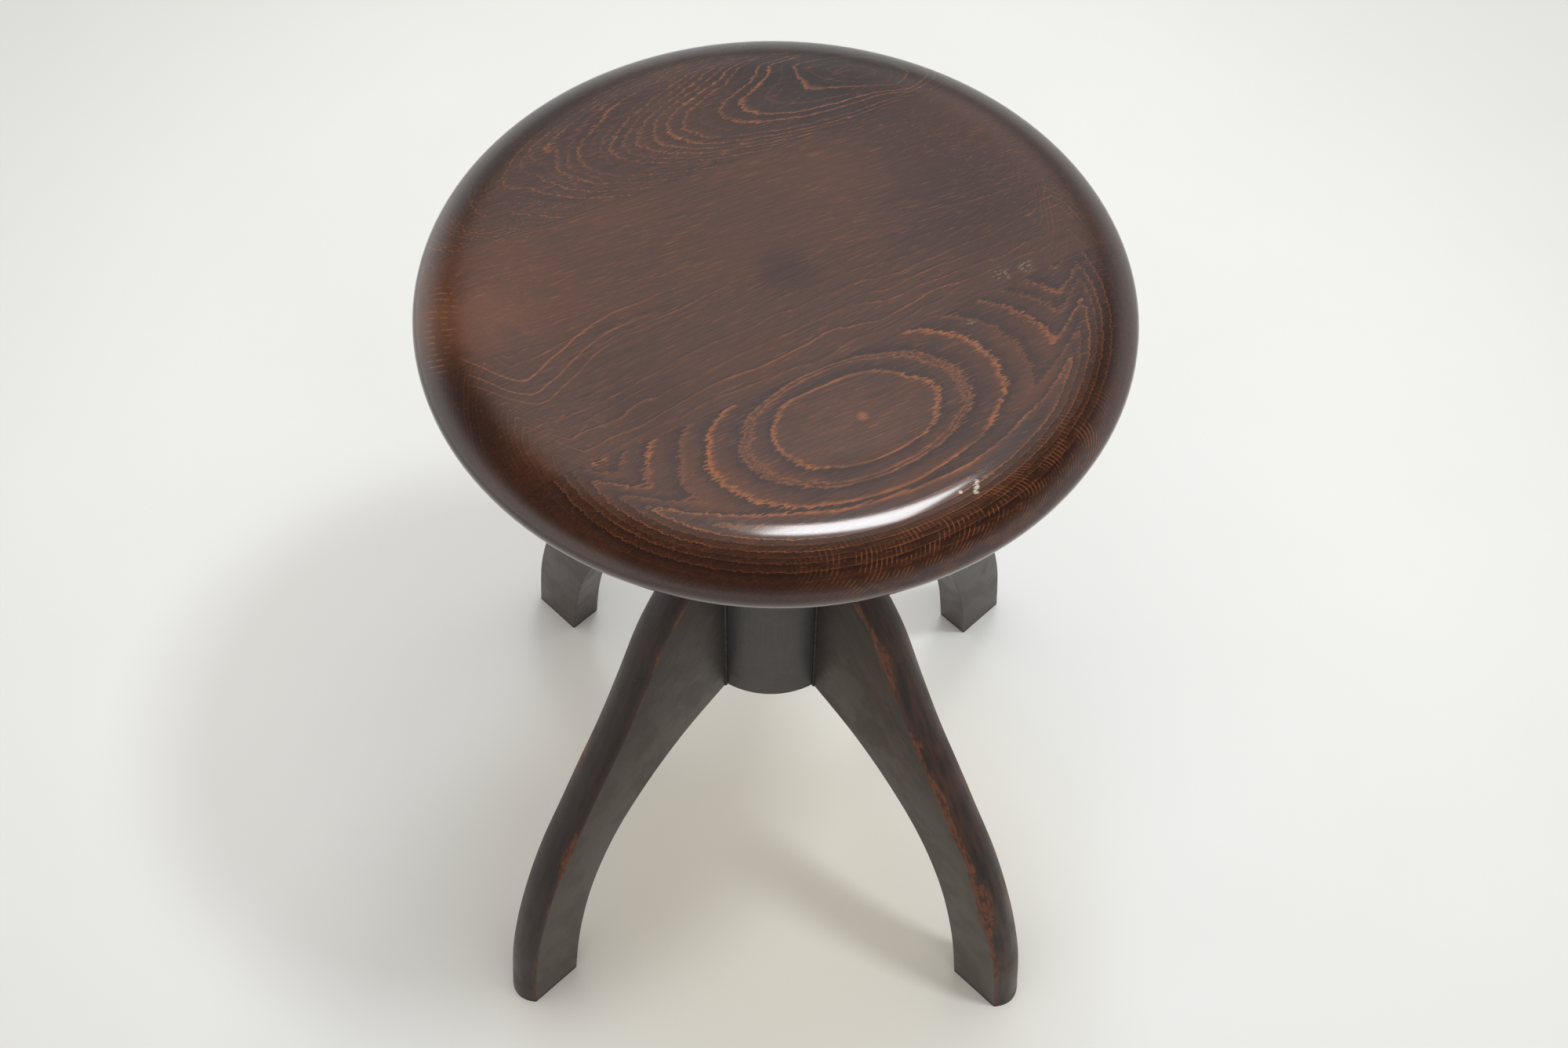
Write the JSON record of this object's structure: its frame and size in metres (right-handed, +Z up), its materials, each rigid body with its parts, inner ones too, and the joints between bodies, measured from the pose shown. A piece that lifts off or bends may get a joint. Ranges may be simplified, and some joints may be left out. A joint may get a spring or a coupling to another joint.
{
  "type": "revolving piano stool",
  "caption": "Revolving piano stool: a dished round wooden seat on a steel screw spindle, in an iron nut in a turned hub on S-shaped splayed legs.",
  "frame": {"origin": "on the floor, on the axis of the screw spindle, which is the centre of the seat and of the four feet", "axes": "+Z up along the spindle, -Y towards the front, legs on the diagonals between X and Y"},
  "size_m": [0.35, 0.35, 0.489],
  "materials": {
    "seat_wood": "stained dark brown, lacquered",
    "frame_wood": "ebonised, satin, worn at the edges",
    "dowel_wood": "bare beech",
    "cast_iron": "dark, matte",
    "steel": "oiled, satin"
  },
  "bodies": {
    "base": {"hub": "frame_wood", "nut": "cast_iron", "nut_screw_1": "steel", "nut_screw_2": "steel", "nut_screw_3": "steel", "nut_screw_4": "steel", "leg_front_right": "frame_wood", "leg_back_right": "frame_wood", "leg_back_left": "frame_wood", "leg_front_left": "frame_wood", "leg_front_right_dowel_lower": "dowel_wood", "leg_front_right_dowel_upper": "dowel_wood", "leg_back_right_dowel_lower": "dowel_wood", "leg_back_right_dowel_upper": "dowel_wood", "leg_back_left_dowel_lower": "dowel_wood", "leg_back_left_dowel_upper": "dowel_wood", "leg_front_left_dowel_lower": "dowel_wood", "leg_front_left_dowel_upper": "dowel_wood"},
    "stop": {"stop_washer": "steel"},
    "seat": {"seat": "seat_wood", "seat_flange": "cast_iron", "flange_screw_1": "steel", "flange_screw_2": "steel", "flange_screw_3": "steel", "flange_screw_4": "steel", "boss_pin": "steel", "spindle": "steel", "tail_pin": "steel"}
  },
  "joints": [
    {"name": "seat_lift", "type": "slide", "parent": "base", "child": "stop", "axis": [0, 0, 1], "range_m": [-0.0911, 0.0601]},
    {"name": "seat_turn", "type": "hinge", "parent": "stop", "child": "seat", "pos_m": [0, 0, 0.458], "axis": [0, 0, 1], "range_deg": [-4095, 2700]}
  ],
  "couplings": [
    {"joint": "seat_lift", "follows": "seat_turn", "m_per_rad": 0.0012732}
  ]
}
